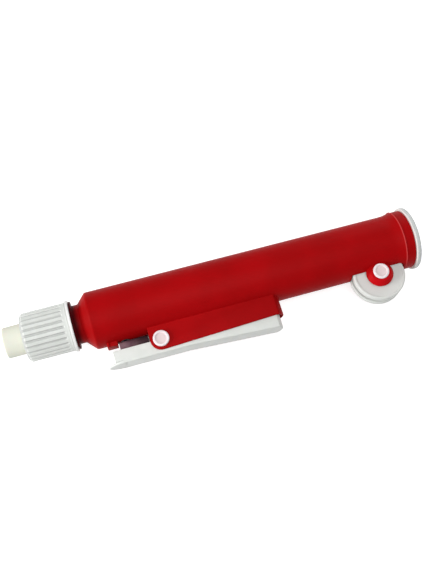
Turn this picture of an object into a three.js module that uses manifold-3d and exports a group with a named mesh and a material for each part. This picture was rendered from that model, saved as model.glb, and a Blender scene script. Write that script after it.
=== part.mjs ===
// Fast-release pipette pump: a barrel with a rack-driven plunger, a thumbwheel, a vent lever and a
// screwed pipette chuck. Millimetres. The pump lies on its side: +X runs along the barrel to the
// thumb plate, +Z is up along the wheel axle, and the lever and wheel are on the -Y side.
// Inside the file, x = 0 is the corner where the barrel meets its front cone, on the barrel's axis.

import * as THREE from "three";
import { mergeVertices } from "three/addons/utils/BufferGeometryUtils.js";
import Module from "manifold-3d";

const wasm = await Module();
wasm.setup();

// ---------------------------------------------------------------- driving dimensions
const GAP = 0.3; // clearance between pieces that seat on each other
const RUN = 0.35; // clearance between pieces that slide or turn

const barrel = { bore: 12.5, wall: 2.5, rear: 173.9, frontWall: 1.0 };
barrel.radius = barrel.bore + barrel.wall;
const flare = { radius: barrel.radius + 0.8, start: barrel.rear - 9.4, end: barrel.rear - 4.4, lip: 0.4 };
const neck = { rootRadius: 9.6, radius: 10.17, front: -26.5, bore: 3.2 };
const collar = { front: neck.front + 17.42, radius: neck.rootRadius + 3.0, thickness: 0.93 };
const thread = { wire: 0.8, lead: 4, from: neck.front + 2.1, to: neck.front + 13.3, stepsPerTurn: 18, sides: 8 };

const wheel = { radius: 14, halfWidth: 4.7, grooveHalf: 1.6, chamfer: 0.5 };
wheel.x = barrel.rear - wheel.radius - 7.4;
const slot = { halfWidth: wheel.halfWidth + 0.6, side: 0.4, rearReach: wheel.radius + 1.1, cornerRadius: 2.8 };
const axle = { radius: 2.0, headRadius: 4.3, headThickness: 1.1, recessRadius: 3.1, recessDepth: 0.3 };
const ear = {
  innerFace: wheel.halfWidth + 0.5, outerFace: wheel.halfWidth + 3.6,
  baseRadius: axle.headRadius + 2.9, topRadius: axle.headRadius + 1.1,
};
// the wheel hangs low enough for its rack to run in the bore and for its axle's head to clear the tube
const tubeAtHead = Math.sqrt(barrel.radius ** 2 - (ear.outerFace + GAP) ** 2);
wheel.y = -Math.max(barrel.bore + 4.3, tubeAtHead + axle.headRadius + 0.2);

const pinion = { teeth: 12, module: 1, addendum: 0.9, dedendum: 1.2, halfWidth: 1.3, thin: 0.2 };
const pressureAngle = THREE.MathUtils.degToRad(25);
const stroke = 62; // travel of the plunger

const rod = {
  webHalf: barrel.bore - 3.5, webBottom: wheel.y + wheel.radius + 0.9, webThickness: 2, ribHalf: 1.2,
  ribTop: barrel.bore - 3.5, hubRadius: 4.5, hubFront: wheel.x + wheel.radius - 3.6, hubProud: 0.6,
};
const rodDisc = { radius: barrel.bore - 1.5, thickness: 2 };
const stud = { radius: 2.5, length: 6 };
const spigot = { radius: rod.hubRadius - 1.5, length: 8 };
const piston = { front: barrel.frontWall + 1, length: 9.0, groove: 2.1, grooveInset: 1.35, seal: 0.75 };
const guide = { rear: barrel.rear - 0.5, thickness: 5.2 };
const plate = { radius: flare.radius + 1.17, thickness: 2.5, edge: 0.6 };

const pin = { x: 32.15, y: -barrel.radius - 5.8, radius: 1.5 };
const bracket = {
  half: 7.0, wall: 0.9, nose: 5.6, rear: 94.0, bow: 3.4, rearBottom: pin.y - 3, endWall: 0.8,
  root: 1.5 - barrel.bore,
};
const lever = {
  half: bracket.half - bracket.wall - GAP, cheek: 1.3, web: 1.5, front: 6.9, top: pin.y + 0.3, bend: 46,
  tail: bracket.rear - bracket.endWall - 0.4, bow: 2.4, tailTop: pin.y - 0.8,
  frontBottom: pin.y - 6.9, tailBottom: pin.y - 9.65,
  humpRadius: pin.radius + 1.9, noseLength: 3.8, noseDrop: 1.2, noseThickness: 0.9,
};
const pad = { from: 11.2, to: 26.2, half: lever.half - lever.cheek - 1.3 };
const vent = { x: 14.6, bore: 0.9, seatRadius: 2.2, seatLength: barrel.radius - barrel.bore - 0.4 };
const stop = { from: 4.85, to: 10.4, half: 3.3, bottom: -barrel.radius - 2.1, ribRadius: 0.8 };
const spring = { x: 76, radius: 2.6, wire: 0.35, turns: 7, stepsPerTurn: 12, sides: 6 };
const springSeat = { radius: spring.radius + 0.8, drop: 0.8, pegRadius: spring.radius - 1, pegHeight: 1.6 };

const nut = {
  rear: collar.front - GAP, radius: neck.rootRadius + 2.6, ribHeight: 0.6, ribs: 26, turn: 0.47,
  flangeRadius: neck.rootRadius + 4.02, flangeLength: 1.6, bandLength: 2, front: neck.front - 8.5, chamfer: 1.5,
  frontWall: 3.5,
};
const chuck = {
  length: 9.95, radius: neck.rootRadius - 1.55, edge: 0.8, flangeRadius: neck.rootRadius - 0.3, flangeLength: 2.9,
  spigotRadius: 5.6, mouth: 4.4, socket: 3.5, socketDepth: 15, bore: 2.2,
};
chuck.tip = nut.front - chuck.length;
const neckSocket = { radius: chuck.spigotRadius + 0.4, depth: 7.0 };
const gasket = { thickness: 1.2, outer: chuck.flangeRadius - 0.1, inner: neckSocket.radius };

// ---------------------------------------------------------------- values worked out from them
const coneFront = neck.radius - barrel.radius;
const rodWebTop = rod.webBottom + rod.webThickness;
const plateFront = barrel.rear + GAP;
const plateRear = plateFront + plate.thickness;
const pistonRear = piston.front + piston.length;
const rodDiscFront = pistonRear + GAP;
const rodFront = rodDiscFront + rodDisc.thickness;
const rodRear = plateFront - GAP;
const ribRear = rodRear - rod.hubProud;
const pitchRadius = (pinion.teeth * pinion.module) / 2;
const pitchLine = wheel.y + pitchRadius;
const pitch = Math.PI * pinion.module;
const rackTip = pitchLine - pinion.addendum;
const rackRoot = pitchLine + pinion.dedendum;
const nutBore = neck.rootRadius + RUN;
const nutFrontInner = nut.front + nut.frontWall;
const chuckFlangeFront = nutFrontInner + GAP;
const chuckFlangeRear = chuckFlangeFront + chuck.flangeLength;
const vesselRear = neck.front + neckSocket.depth - GAP;
const centre = new THREE.Vector3((chuck.tip + plateRear) / 2, (wheel.y - wheel.radius + plate.radius) / 2, 0);

// ---------------------------------------------------------------- finishes
const finish = (name, color, roughness) => new THREE.MeshStandardMaterial({ name, color, roughness, metalness: 0 });
const redPlastic = finish("red_plastic", 0xa01218, 0.38);
const whitePlastic = finish("white_plastic", 0xe4e6e0, 0.4);
const pinPlastic = finish("pin_plastic", 0xf0dfe2, 0.45);
const ivoryRubber = finish("ivory_rubber", 0xf0efe0, 0.6);
const blackRubber = finish("black_rubber", 0x1b1b1c, 0.7);
const greySilicone = finish("grey_silicone", 0x9a8288, 0.5);
const springSteel = new THREE.MeshStandardMaterial({ name: "steel", color: 0xb8babd, roughness: 0.3, metalness: 1 });

// ---------------------------------------------------------------- solids from three.js geometries
/** Merge a geometry's shared vertices and hand it to the boolean library. */
function solid(geometry) {
  geometry.deleteAttribute("normal");
  geometry.deleteAttribute("uv");
  const merged = mergeVertices(geometry, 1e-5);
  const index = merged.index.array;
  const triVerts = [];
  for (let i = 0; i < index.length; i += 3) {
    const [a, b, c] = [index[i], index[i + 1], index[i + 2]];
    if (a !== b && b !== c && c !== a) triVerts.push(a, b, c);
  }
  const vertProperties = new Float32Array(merged.attributes.position.array);
  return new wasm.Manifold(new wasm.Mesh({ numProp: 3, vertProperties, triVerts: new Uint32Array(triVerts) }));
}

/** A named mesh from a finished solid. */
function mesh(name, shape, material) {
  const { vertProperties, triVerts } = shape.getMesh();
  const geometry = new THREE.BufferGeometry();
  geometry.setAttribute("position", new THREE.BufferAttribute(new Float32Array(vertProperties), 3));
  geometry.setIndex(new THREE.BufferAttribute(new Uint32Array(triVerts), 1));
  geometry.computeVertexNormals();
  const result = new THREE.Mesh(geometry, material);
  result.name = name;
  return result;
}

/** Turn a closed or axis-to-axis profile of [x, radius] points about the X axis. */
function turnX(profile, segments = 48) {
  const points = profile.map(([x, r]) => new THREE.Vector2(r, x));
  if (THREE.ShapeUtils.isClockWise(points)) points.reverse();
  const onAxis = points[0].x === 0 && points[points.length - 1].x === 0;
  if (!onAxis) points.push(points[0].clone());
  return solid(new THREE.LatheGeometry(points, segments).rotateZ(-Math.PI / 2));
}

/** The same, about an upright line through (x, y), with [z, radius] points. */
function turnZ(profile, x, y, segments = 32) {
  const points = profile.map(([z, r]) => new THREE.Vector2(r, z));
  if (THREE.ShapeUtils.isClockWise(points)) points.reverse();
  const onAxis = points[0].x === 0 && points[points.length - 1].x === 0;
  if (!onAxis) points.push(points[0].clone());
  return solid(new THREE.LatheGeometry(points, segments).rotateX(Math.PI / 2).translate(x, y, 0));
}

/** A round bar from `from` to `to` with one radius. */
function bar(from, to, radius, segments = 24) {
  const span = new THREE.Vector3().subVectors(to, from);
  const geometry = new THREE.CylinderGeometry(radius, radius, span.length(), segments);
  geometry.applyQuaternion(new THREE.Quaternion().setFromUnitVectors(new THREE.Vector3(0, 1, 0), span.clone().normalize()));
  const middle = new THREE.Vector3().addVectors(from, to).multiplyScalar(0.5);
  return solid(geometry.translate(middle.x, middle.y, middle.z));
}

/** An outline in x, y pulled up from z0 to z1. */
function slabZ(shape, z0, z1, curveSegments = 12) {
  const geometry = new THREE.ExtrudeGeometry(shape, { depth: z1 - z0, bevelEnabled: false, curveSegments });
  return solid(geometry.translate(0, 0, z0));
}

/** An outline in y, z pulled along x from x0 to x1. */
function slabX(shape, x0, x1, curveSegments = 12) {
  const geometry = new THREE.ExtrudeGeometry(shape, { depth: x1 - x0, bevelEnabled: false, curveSegments });
  const turn = new THREE.Matrix4().makeBasis(
    new THREE.Vector3(0, 1, 0),
    new THREE.Vector3(0, 0, 1),
    new THREE.Vector3(1, 0, 0),
  );
  return solid(geometry.applyMatrix4(turn).translate(x0, 0, 0));
}

/** A plan outline in x, z pulled along y from y0 to y1. */
function slabY(shape, y0, y1, curveSegments = 12) {
  const geometry = new THREE.ExtrudeGeometry(shape, { depth: y1 - y0, bevelEnabled: false, curveSegments });
  return solid(geometry.rotateX(Math.PI / 2).translate(0, y1, 0));
}

/** A box between two corners. */
function block(low, high) {
  const size = new THREE.Vector3().subVectors(high, low);
  const geometry = new THREE.BoxGeometry(size.x, size.y, size.z);
  return solid(geometry.translate((low.x + high.x) / 2, (low.y + high.y) / 2, (low.z + high.z) / 2));
}

const v3 = (x, y, z) => new THREE.Vector3(x, y, z);
const outline = (points) => new THREE.Shape(points.map(([a, b]) => new THREE.Vector2(a, b)));

/** A helix about the X or Y axis. */
class Helix extends THREE.Curve {
  constructor(radius, start, end, turns, along) {
    super();
    Object.assign(this, { radius, start, end, turns, along });
  }

  getPoint(t, target = new THREE.Vector3()) {
    const angle = 2 * Math.PI * this.turns * t;
    const step = this.start + (this.end - this.start) * t;
    const [a, b] = [this.radius * Math.cos(angle), this.radius * Math.sin(angle)];
    return this.along === "x" ? target.set(step, a, b) : target.set(a, step, b);
  }
}

/** A round wire swept along a curve. */
function wire(curve, radius, steps, sides) {
  const section = new THREE.Shape().absarc(0, 0, radius, 0, 2 * Math.PI, false);
  const geometry = new THREE.ExtrudeGeometry(section, { extrudePath: curve, steps, curveSegments: sides / 2 });
  return solid(geometry);
}

/** The rounded screw thread on the neck, or its groove: `grow` wider, with whole turns added at the ends. */
function threadRidge(grow, turnsBefore, turnsAfter) {
  const from = thread.from - turnsBefore * thread.lead;
  const to = thread.to + turnsAfter * thread.lead;
  const turns = (to - from) / thread.lead;
  const path = new Helix(neck.rootRadius, from, to, turns, "x");
  return wire(path, thread.wire + grow, Math.round(thread.stepsPerTurn * turns), thread.sides);
}

// ---------------------------------------------------------------- barrel housing
/** Barrel, front cone and neck as one turned blank. */
function barrelBlank() {
  return turnX([
    [neck.front, 0],
    [neck.front, neck.rootRadius],
    [collar.front, neck.rootRadius],
    [collar.front, collar.radius],
    [collar.front + collar.thickness, collar.radius],
    [collar.front + collar.thickness, neck.radius],
    [coneFront, neck.radius],
    [0, barrel.radius],
    [flare.start, barrel.radius],
    [(flare.start + flare.end) / 2, (barrel.radius + flare.radius) / 2],
    [flare.end, flare.radius],
    [barrel.rear - flare.lip, flare.radius],
    [barrel.rear, flare.radius - flare.lip],
    [barrel.rear, 0],
  ], 56);
}

/** The cylinder bore, the air passage and the socket for the chuck's spigot. */
function barrelBore() {
  const socketEnd = neck.front + neckSocket.depth;
  return turnX([
    [neck.front - 1, 0],
    [neck.front - 1, neckSocket.radius],
    [socketEnd, neckSocket.radius],
    [socketEnd, neck.bore],
    [barrel.frontWall, neck.bore],
    [barrel.frontWall, barrel.bore],
    [barrel.rear + 1, barrel.bore],
    [barrel.rear + 1, 0],
  ], 56);
}

/** The wheel's window in the barrel wall: square in front, rounded behind. */
function slotCutter() {
  const front = wheel.x - wheel.radius - slot.side;
  const rear = wheel.x + slot.rearReach;
  const r = slot.cornerRadius;
  const plan = new THREE.Shape();
  plan.moveTo(front, -slot.halfWidth);
  plan.lineTo(rear - r, -slot.halfWidth);
  plan.absarc(rear - r, -slot.halfWidth + r, r, -Math.PI / 2, 0, false);
  plan.lineTo(rear, slot.halfWidth - r);
  plan.absarc(rear - r, slot.halfWidth - r, r, 0, Math.PI / 2, false);
  plan.lineTo(front, slot.halfWidth);
  return slabY(plan, wheel.y - wheel.radius, wheel.y + wheel.radius, 5);
}

/** One coned ear that carries the wheel's axle; side is +1 or -1. */
function axleEar(side) {
  const cone = turnZ([
    [ear.innerFace * side, 0],
    [ear.innerFace * side, ear.baseRadius],
    [(ear.innerFace + 1) * side, ear.baseRadius],
    [ear.outerFace * side, ear.topRadius],
    [ear.outerFace * side, 0],
  ], wheel.x, wheel.y);
  return cone;
}

/** Side view of the lever bracket: a round nose about the pin and a tapering skirt. */
function bracketSide() {
  const side = new THREE.Shape();
  const rear = bracket.rear + bracket.bow + 1;
  side.moveTo(pin.x - bracket.nose, bracket.root);
  side.lineTo(pin.x - bracket.nose, pin.y);
  side.absarc(pin.x, pin.y, bracket.nose, Math.PI, 1.5 * Math.PI, false);
  side.lineTo(rear, bracket.rearBottom);
  side.lineTo(rear, bracket.root);
  return side;
}

/** Plan outline with a straight front and a bowed rear end, `inset` inside the outer one. */
function bowedPlan(front, half, rear, bow) {
  const plan = new THREE.Shape();
  plan.moveTo(front, -half);
  plan.lineTo(rear, -half);
  plan.quadraticCurveTo(rear + 2 * bow, 0, rear, half);
  plan.lineTo(front, half);
  return plan;
}

/** The channel under the barrel that carries the lever. */
function leverBracket() {
  const front = pin.x - 2 * bracket.nose;
  const low = pin.y - 2 * bracket.nose;
  const skirt = slabZ(bracketSide(), -bracket.half, bracket.half);
  const outer = slabY(bowedPlan(front, bracket.half, bracket.rear, bracket.bow), low, 0, 8);
  const innerRear = bracket.rear - bracket.endWall;
  const inner = slabY(bowedPlan(front - 1, bracket.half - bracket.wall, innerRear, bracket.bow), low - 1, 1, 8);
  return skirt.intersect(outer).subtract(inner);
}

/** The stop boss in front of the vent, with its round front rib. */
function stopBoss() {
  const top = -barrel.bore - 0.5;
  const body = block(v3(stop.from + stop.ribRadius, stop.bottom, -stop.half), v3(stop.to, top, stop.half));
  const ribX = stop.from + stop.ribRadius;
  return body.add(bar(v3(ribX, stop.bottom, stop.half - 0.4), v3(ribX, top, stop.half - 0.4), stop.ribRadius, 12));
}

/** Barrel, neck, thread, ears, lever bracket, stop and spring seat: one moulding. */
function barrelHousing() {
  const seat = bar(v3(spring.x, -barrel.bore - 1, 0), v3(spring.x, -barrel.radius - springSeat.drop, 0), springSeat.radius);
  const ventHole = bar(v3(vent.x, -barrel.radius - 1, 0), v3(vent.x, 0, 0), vent.seatRadius + GAP);
  return barrelBlank()
    .add(threadRidge(0, 0, 0))
    .add(axleEar(1))
    .add(axleEar(-1))
    .add(leverBracket())
    .add(stopBoss())
    .add(seat)
    .subtract(barrelBore())
    .subtract(slotCutter())
    .subtract(bar(v3(wheel.x, wheel.y, -ear.outerFace - 1), v3(wheel.x, wheel.y, ear.outerFace + 1), axle.radius + GAP))
    .subtract(bar(v3(pin.x, pin.y, -bracket.half - 1), v3(pin.x, pin.y, bracket.half + 1), pin.radius + GAP))
    .subtract(ventHole);
}

/** The ring pressed into the vent hole, against which the pad seals. */
function ventSeat() {
  const ring = bar(v3(vent.x, -barrel.radius, 0), v3(vent.x, -barrel.radius + vent.seatLength, 0), vent.seatRadius);
  return ring.subtract(bar(v3(vent.x, -barrel.radius - 1, 0), v3(vent.x, 0, 0), vent.bore, 16));
}

// ---------------------------------------------------------------- plunger
/** T-shaped section of the rod's web and upper rib, `grow` larger all round. */
function rodSection(grow) {
  const [rib, web] = [rod.ribHalf + grow, rod.webHalf + grow];
  const [top, high, low] = [rod.ribTop + grow, rodWebTop + grow, rod.webBottom - grow];
  return outline([
    [low, -web], [low, web], [high, web], [high, rib], [top, rib], [top, -rib], [high, -rib], [high, -web],
  ].reverse());
}

/** The lower rib with its rack: teeth for the whole travel, with a gap over the wheel's centre at rest. */
function rackRib() {
  const half = pitch / 4 - pinion.thin / 2;
  const slope = Math.tan(pressureAngle);
  const points = [[rodFront - 1, rackRoot]];
  for (let i = -Math.ceil(stroke / pitch) - 3; i <= 2; i += 1) {
    const x = wheel.x + (i + 0.5) * pitch;
    points.push([x - half - pinion.dedendum * slope, rackRoot]);
    points.push([x - half + pinion.addendum * slope, rackTip]);
    points.push([x + half - pinion.addendum * slope, rackTip]);
    points.push([x + half + pinion.dedendum * slope, rackRoot]);
  }
  const back = (rodWebTop + rod.webBottom) / 2;
  points.push([ribRear, rackRoot], [ribRear, back], [rodFront - 1, back]);
  return slabZ(outline(points), -rod.ribHalf, rod.ribHalf);
}

/** Rod of cross section with its rack, front disc, piston stud and rear hub. */
function plungerRod() {
  const body = slabX(rodSection(0), rodFront - 1, ribRear);
  const disc = bar(v3(rodDiscFront, 0, 0), v3(rodFront, 0, 0), rodDisc.radius, 48);
  const studBar = bar(v3(rodDiscFront - stud.length, 0, 0), v3(rodDiscFront + 1, 0, 0), stud.radius);
  const hub = bar(v3(rod.hubFront, 0, 0), v3(rodRear, 0, 0), rod.hubRadius);
  const hole = bar(v3(rodRear - spigot.length - GAP, 0, 0), v3(rodRear + 1, 0, 0), spigot.radius + GAP);
  return body.add(disc).add(studBar).add(hub).add(rackRib()).subtract(hole);
}

const grooveCentres = [piston.front + 2.6, pistonRear - 2.4];

/** Piston head with two seal grooves, pushed on the rod's stud. */
function pistonHead() {
  const radius = barrel.bore - RUN;
  const floor = radius - piston.grooveInset - GAP;
  const profile = [[piston.front, 0], [piston.front, radius - 0.8], [piston.front + 0.8, radius]];
  for (const x of grooveCentres) {
    profile.push([x - piston.groove / 2, radius], [x - piston.groove / 2, floor]);
    profile.push([x + piston.groove / 2, floor], [x + piston.groove / 2, radius]);
  }
  profile.push([pistonRear, radius], [pistonRear, 0]);
  const socket = bar(v3(rodDiscFront - stud.length - GAP, 0, 0), v3(pistonRear + 1, 0, 0), stud.radius + GAP);
  return turnX(profile, 44).subtract(socket);
}

/** A round sealing ring in its groove, just clear of the bore. */
function pistonSeal(x) {
  const middle = barrel.bore - 0.25 - piston.seal;
  const points = [];
  for (let i = 0; i < 8; i += 1) {
    const angle = (2 * Math.PI * (i + 0.5)) / 8;
    points.push([x + piston.seal * Math.cos(angle), middle + piston.seal * Math.sin(angle)]);
  }
  return turnX(points, 40);
}

/** Guide pressed into the rear of the barrel, split below for the rack; the rod slides through it. */
function rodGuide() {
  const front = guide.rear - guide.thickness;
  const rib = rod.ribHalf + RUN;
  const ribWay = block(v3(front - 1, -barrel.bore, -rib), v3(guide.rear + 1, rod.webBottom, rib));
  return bar(v3(front, 0, 0), v3(guide.rear, 0, 0), barrel.bore - GAP, 48)
    .subtract(slabX(rodSection(RUN), front - 1, guide.rear + 1))
    .subtract(ribWay)
    .subtract(bar(v3(front - 1, 0, 0), v3(guide.rear + 1, 0, 0), rod.hubRadius + RUN));
}

/** Round thumb plate with the spigot that holds it in the rod. */
function thumbPlate() {
  const { radius, edge } = plate;
  return turnX([
    [plateFront - spigot.length, 0],
    [plateFront - spigot.length, spigot.radius],
    [plateFront, spigot.radius],
    [plateFront, radius - edge],
    [plateFront + edge, radius],
    [plateRear - edge, radius],
    [plateRear, radius - edge],
    [plateRear, 0],
  ], 56);
}

// ---------------------------------------------------------------- thumbwheel
/** One disc of the wheel; side is +1 or -1. */
function wheelDisc(side) {
  const [inner, outer] = [wheel.grooveHalf * side, wheel.halfWidth * side];
  const bore = axle.radius + GAP;
  const edge = wheel.chamfer * side;
  return turnZ([
    [inner, bore],
    [inner, wheel.radius - wheel.chamfer],
    [inner + edge, wheel.radius],
    [outer - edge, wheel.radius],
    [outer, wheel.radius - wheel.chamfer],
    [outer, bore],
  ], wheel.x, wheel.y, 48);
}

/** The pinion between the discs, with involute flanks and a tooth pointing at the rack. */
function drivePinion() {
  const base = pitchRadius * Math.cos(pressureAngle);
  const tip = pitchRadius + pinion.addendum;
  const root = pitchRadius - pinion.dedendum;
  const spread = (r) => Math.tan(Math.acos(base / r)) - Math.acos(base / r);
  const halfAtPitch = (pitch / 4 - pinion.thin / 2) / pitchRadius;
  const halfAt = (r) => halfAtPitch + spread(pitchRadius) - spread(r);
  const radii = [base, base + (tip - base) * 0.35, base + (tip - base) * 0.7, tip];
  const points = [];
  for (let tooth = 0; tooth < pinion.teeth; tooth += 1) {
    const middle = Math.PI / 2 + (2 * Math.PI * tooth) / pinion.teeth;
    const at = (r, angle) => points.push([wheel.x + r * Math.cos(angle), wheel.y + r * Math.sin(angle)]);
    at(root, middle - halfAt(base));
    radii.forEach((r) => at(r, middle - halfAt(r)));
    [...radii].reverse().forEach((r) => at(r, middle + halfAt(r)));
    at(root, middle + halfAt(base));
  }
  const bore = bar(v3(wheel.x, wheel.y, -5), v3(wheel.x, wheel.y, 5), axle.radius + GAP);
  return slabZ(outline(points), -pinion.halfWidth, pinion.halfWidth).subtract(bore);
}

// ---------------------------------------------------------------- pins
/** Profile of a round head with a shallow recess, outwards from `face` on the given side. */
function headProfile(face, side) {
  const outer = face + axle.headThickness * side;
  return [
    [face, axle.headRadius],
    [outer - 0.3 * side, axle.headRadius],
    [outer, axle.headRadius - 0.3],
    [outer, axle.recessRadius],
    [outer - axle.recessDepth * side, axle.recessRadius - 0.3],
    [outer - axle.recessDepth * side, 0],
  ];
}

/** A headed pin whose plain end stops inside its far cap. */
function headedPin(place, radius, seat) {
  return turnZ([[-seat, 0], [-seat, radius], [seat + GAP, radius], ...headProfile(seat + GAP, 1)], place.x, place.y);
}

/** The cap on the far end of a pin. */
function pinCap(place, seat) {
  return turnZ([[-seat - GAP, 0], ...headProfile(-seat - GAP, -1)], place.x, place.y);
}

// ---------------------------------------------------------------- release lever
/** Height of the lever's outer face at a station x: level as far as the bend, then sloping away. */
function leverBottom(x) {
  const share = Math.max(0, (x - lever.bend) / (lever.tail - lever.bend));
  return lever.frontBottom + share * (lever.tailBottom - lever.frontBottom);
}

/** Side view of the lever, with the round hump about its pin and a wedge nose. */
function leverSide() {
  const side = new THREE.Shape();
  const reach = Math.sqrt(lever.humpRadius ** 2 - (lever.top - pin.y) ** 2);
  const rise = Math.atan2(lever.top - pin.y, reach);
  const rear = lever.tail + lever.bow + 1;
  side.moveTo(lever.front, lever.top);
  side.lineTo(pin.x - reach, lever.top);
  side.absarc(pin.x, pin.y, lever.humpRadius, Math.PI - rise, rise, true);
  side.lineTo(rear, lever.tailTop);
  side.lineTo(rear, leverBottom(rear));
  side.lineTo(lever.bend, lever.frontBottom);
  side.lineTo(lever.front - lever.noseLength, leverBottom(lever.front - lever.noseLength));
  side.lineTo(lever.front - lever.noseLength, leverBottom(lever.front - lever.noseLength) + lever.noseThickness);
  side.lineTo(lever.front, leverBottom(lever.front) + lever.noseThickness + lever.noseDrop);
  return side;
}

/** Plan outline of the lever: an arched nose in front and a bowed tail. */
function leverPlan() {
  const plan = new THREE.Shape();
  const tip = lever.front - lever.noseLength;
  const shoulder = lever.front + 1;
  plan.moveTo(shoulder, -lever.half);
  plan.lineTo(lever.tail, -lever.half);
  plan.quadraticCurveTo(lever.tail + 2 * lever.bow, 0, lever.tail, lever.half);
  plan.lineTo(shoulder, lever.half);
  plan.quadraticCurveTo(tip + 0.8, lever.half * 0.8, tip, 0);
  plan.quadraticCurveTo(tip + 0.8, -lever.half * 0.8, shoulder, -lever.half);
  return plan;
}

/** Channel lever with cheeks, web, closed tail, pin hole and spring peg. */
function releaseLever() {
  const low = lever.tailBottom - 2;
  const web = (x) => leverBottom(x) + lever.web;
  const innerHalf = lever.half - lever.cheek;
  const rear = lever.tail - lever.cheek;
  const hollow = slabZ(outline([
    [lever.front - 9, web(lever.front) + 0.4], [lever.bend, web(lever.bend)], [rear + 3, web(rear + 3)],
    [rear + 3, 0], [lever.front - 9, 0],
  ]), -innerHalf, innerHalf);
  const hollowPlan = slabY(bowedPlan(lever.front - 12, innerHalf + 1, rear, lever.bow), low, 0, 8);
  const pegFoot = web(spring.x) - 0.5;
  const peg = bar(v3(spring.x, pegFoot, 0), v3(spring.x, pegFoot + 0.5 + springSeat.pegHeight, 0), springSeat.pegRadius, 16);
  return slabZ(leverSide(), -lever.half, lever.half)
    .intersect(slabY(leverPlan(), low, 0, 8))
    .subtract(hollow.intersect(hollowPlan))
    .add(peg)
    .subtract(bar(v3(pin.x, pin.y, -lever.half - 1), v3(pin.x, pin.y, lever.half + 1), pin.radius + GAP));
}

/** Silicone pad that the lever presses on the vent: upright sides and a round crown. */
function valvePad() {
  const foot = leverBottom(pad.from) + lever.web + 0.4 + GAP;
  const crown = -barrel.radius - GAP;
  const section = new THREE.Shape();
  section.moveTo(foot, -pad.half);
  section.lineTo(foot, pad.half);
  section.lineTo(crown - pad.half, pad.half);
  section.absarc(crown - pad.half, 0, pad.half, Math.PI / 2, -Math.PI / 2, true);
  return slabX(section, pad.from, pad.to, 14);
}

/** Coil spring between the lever's web and the seat under the barrel. */
function leverSpring() {
  const low = leverBottom(spring.x) + lever.web + GAP + spring.wire + 0.1;
  const high = -barrel.radius - springSeat.drop - GAP - spring.wire;
  const path = new Helix(spring.radius, low, high, spring.turns, "y");
  return wire(path, spring.wire, spring.turns * spring.stepsPerTurn, spring.sides).translate([spring.x, 0, 0]);
}

// ---------------------------------------------------------------- chuck
/** Section of the nut's ribbed grip. */
function gripSection() {
  const points = [];
  const step = (2 * Math.PI) / nut.ribs;
  for (let i = 0; i < nut.ribs; i += 1) {
    for (const [share, high] of [[0, 0], [0.2, 0], [0.4, 1], [0.8, 1]]) {
      const radius = nut.radius + nut.ribHeight * high;
      const angle = (i + nut.turn + share) * step;
      points.push([radius * Math.cos(angle), radius * Math.sin(angle)]);
    }
  }
  return outline(points);
}

/** The hollow of the nut: thread bore, room for the chuck's flange, and its mouth. */
function nutHollow() {
  const flangeRoom = chuck.flangeRadius + RUN;
  const step = chuckFlangeRear + gasket.thickness + GAP;
  return turnX([
    [nut.front - 1, 0],
    [nut.front - 1, chuck.radius + RUN],
    [nutFrontInner, chuck.radius + RUN],
    [nutFrontInner, flangeRoom],
    [step, flangeRoom],
    [step, nutBore],
    [nut.rear + 1, nutBore],
    [nut.rear + 1, 0],
  ]).add(threadRidge(RUN, 1, 2));
}

/** Ribbed nut with a plain band and flange behind and a chamfered front. */
function chuckNut() {
  const outer = nut.radius + nut.ribHeight;
  const flangeFront = nut.rear - nut.flangeLength;
  const bandFront = flangeFront - nut.bandLength;
  const grip = slabX(gripSection(), nut.front, bandFront + nut.bandLength / 2);
  const body = turnX([
    [nut.front, 0],
    [nut.front, outer - nut.chamfer],
    [nut.front + nut.chamfer, outer],
    [flangeFront, outer],
    [flangeFront, nut.flangeRadius - 0.3],
    [flangeFront + 0.3, nut.flangeRadius],
    [nut.rear - 0.3, nut.flangeRadius],
    [nut.rear, nut.flangeRadius - 0.3],
    [nut.rear, 0],
  ], 60);
  const rearPart = bar(v3(bandFront, 0, 0), v3(nut.rear + 1, 0, 0), nut.flangeRadius + 5);
  return grip.intersect(body).add(body.intersect(rearPart)).subtract(nutHollow());
}

/** Soft chuck that grips the pipette: nozzle, clamped flange and rear spigot. */
function pipetteChuck() {
  const rear = vesselRear;
  return turnX([
    [chuck.tip, chuck.mouth],
    [chuck.tip, chuck.radius - chuck.edge],
    [chuck.tip + 0.3 * chuck.edge, chuck.radius - 0.3 * chuck.edge],
    [chuck.tip + chuck.edge, chuck.radius],
    [chuckFlangeFront, chuck.radius],
    [chuckFlangeFront, chuck.flangeRadius],
    [chuckFlangeRear, chuck.flangeRadius],
    [chuckFlangeRear, chuck.spigotRadius],
    [rear, chuck.spigotRadius],
    [rear, chuck.bore],
    [chuck.tip + chuck.socketDepth, chuck.bore],
    [chuck.tip + chuck.socketDepth, chuck.socket],
  ]);
}

/** Flat sealing ring between the chuck's flange and the neck. */
function chuckGasket() {
  const rear = neck.front - GAP;
  const front = rear - gasket.thickness;
  return turnX([[front, gasket.inner], [front, gasket.outer], [rear, gasket.outer], [rear, gasket.inner]]);
}

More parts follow.
